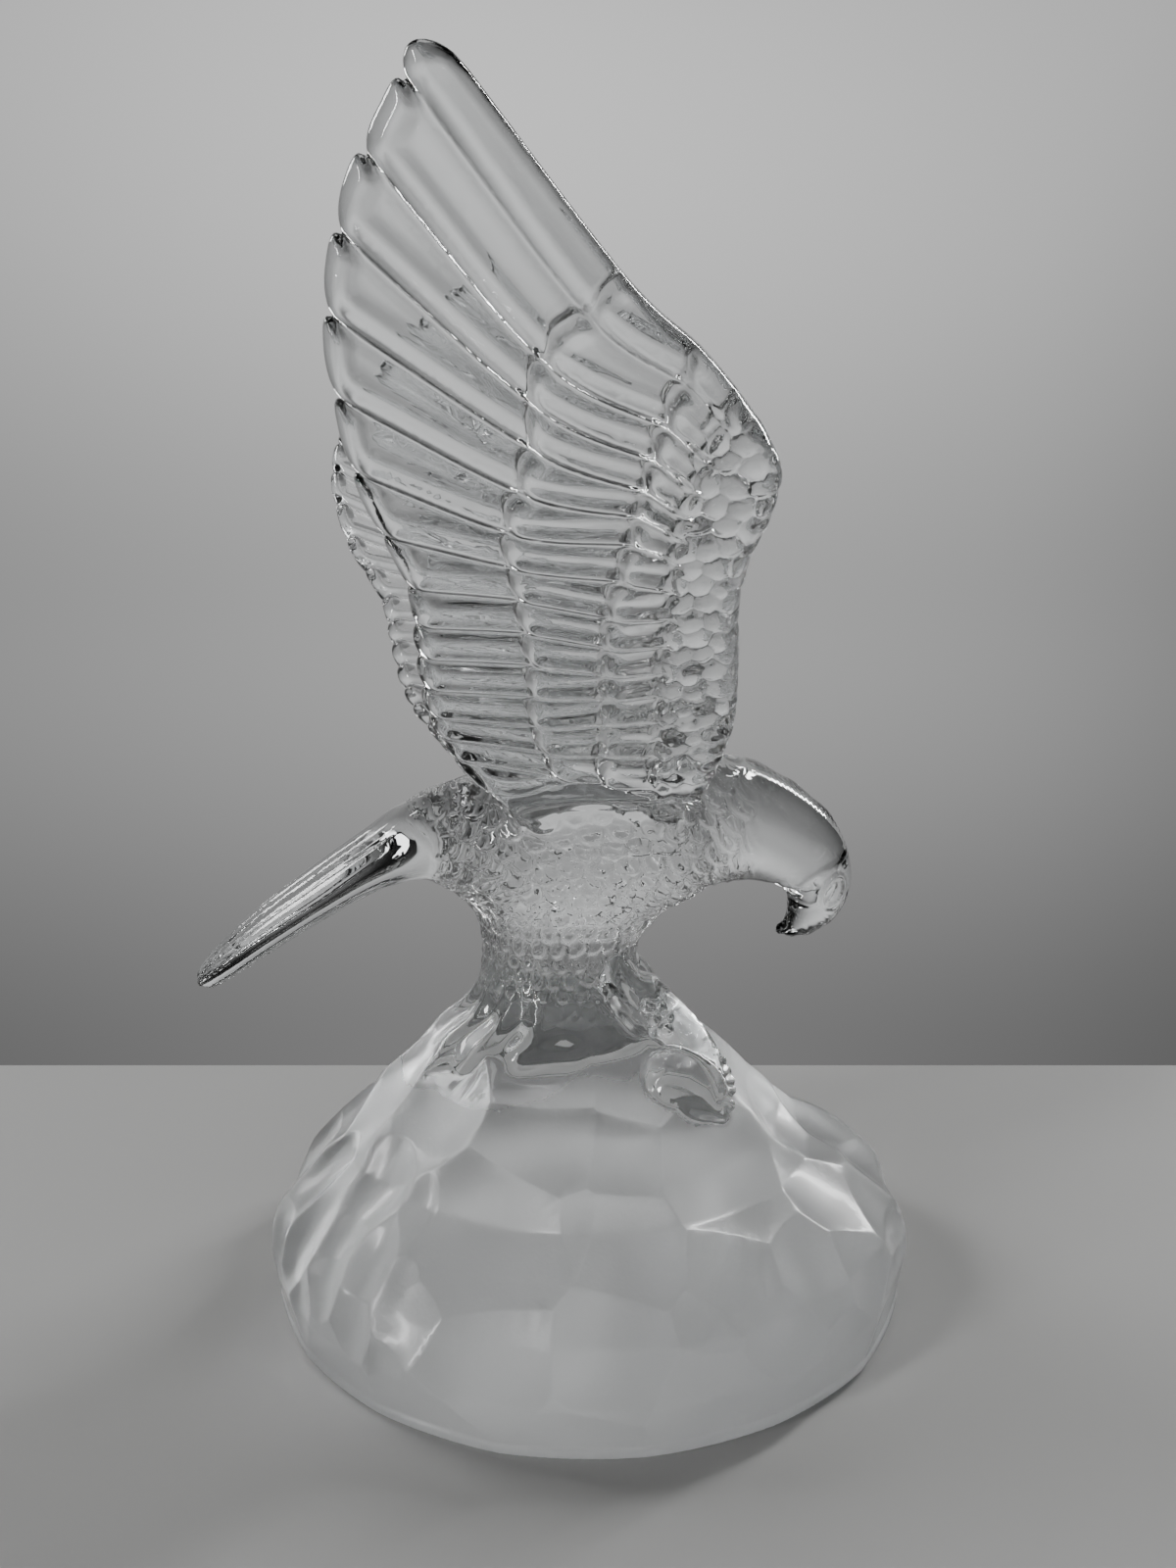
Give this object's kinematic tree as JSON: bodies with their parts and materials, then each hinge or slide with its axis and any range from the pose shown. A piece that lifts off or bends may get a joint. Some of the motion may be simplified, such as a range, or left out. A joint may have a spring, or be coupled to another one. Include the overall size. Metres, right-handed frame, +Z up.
{
  "type": "glass eagle figurine",
  "caption": "Clear glass eagle with raised wings, bending its head over a domed, frosted glass rock.",
  "frame": {"origin": "centre of the flat underside of the rock", "axes": "+Z up, +X towards the eagle's head, -X towards its tail, Y across the wings"},
  "size_m": [0.1451, 0.1976, 0.198],
  "materials": {
    "glass": "clear polished on the bird, satin frosted on the rock"
  },
  "bodies": {
    "root": {"eagle_figurine": "glass"}
  },
  "joints": []
}
